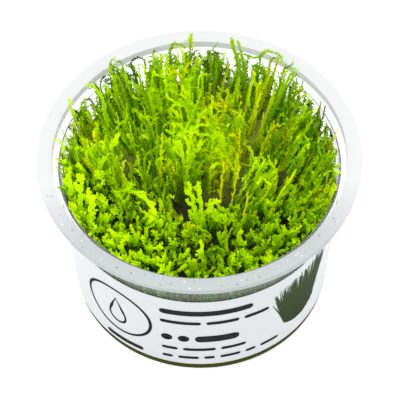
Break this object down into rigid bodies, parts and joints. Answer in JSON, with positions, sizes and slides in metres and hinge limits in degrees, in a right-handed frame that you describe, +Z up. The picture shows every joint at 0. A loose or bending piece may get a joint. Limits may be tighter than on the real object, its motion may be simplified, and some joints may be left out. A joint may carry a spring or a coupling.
{
  "type": "moss clump in a cup",
  "caption": "Clump of aquarium moss standing on nutrient gel in a clear round plastic cup with a flat sealing rim and a plain wrapped label.",
  "frame": {"origin": "centre of the cup's foot, on the plane that it stands on", "axes": "+Z up along the cup's axis; -Y is the front, where the moss is low, and +Y the back, where it is tall"},
  "size_m": [0.07, 0.07, 0.0505],
  "materials": {
    "clear_plastic": "clear, slightly hazy moulded plastic",
    "label_film": "white satin film with dark grey and green print",
    "growing_gel": "wet, cloudy olive gel",
    "moss_mat": "fine overlapping leaves, dark green below and yellow-green at the tips",
    "moss_shoot": "fine overlapping leaves, mid green to yellow-green"
  },
  "bodies": {
    "root": {"cup": "clear_plastic", "label": "label_film", "growing_gel": "growing_gel", "moss_mat": "moss_mat", "shoot_01": "moss_shoot", "shoot_02": "moss_shoot", "shoot_03": "moss_shoot", "shoot_04": "moss_shoot", "shoot_05": "moss_shoot", "shoot_06": "moss_shoot", "shoot_07": "moss_shoot", "shoot_08": "moss_shoot", "shoot_09": "moss_shoot", "shoot_10": "moss_shoot", "shoot_11": "moss_shoot", "shoot_12": "moss_shoot", "shoot_13": "moss_shoot", "shoot_14": "moss_shoot", "shoot_15": "moss_shoot", "shoot_16": "moss_shoot", "shoot_17": "moss_shoot", "shoot_18": "moss_shoot", "shoot_19": "moss_shoot", "shoot_20": "moss_shoot", "shoot_21": "moss_shoot", "shoot_22": "moss_shoot", "shoot_23": "moss_shoot", "shoot_24": "moss_shoot", "shoot_25": "moss_shoot", "shoot_26": "moss_shoot", "shoot_27": "moss_shoot", "shoot_28": "moss_shoot"}
  },
  "joints": []
}
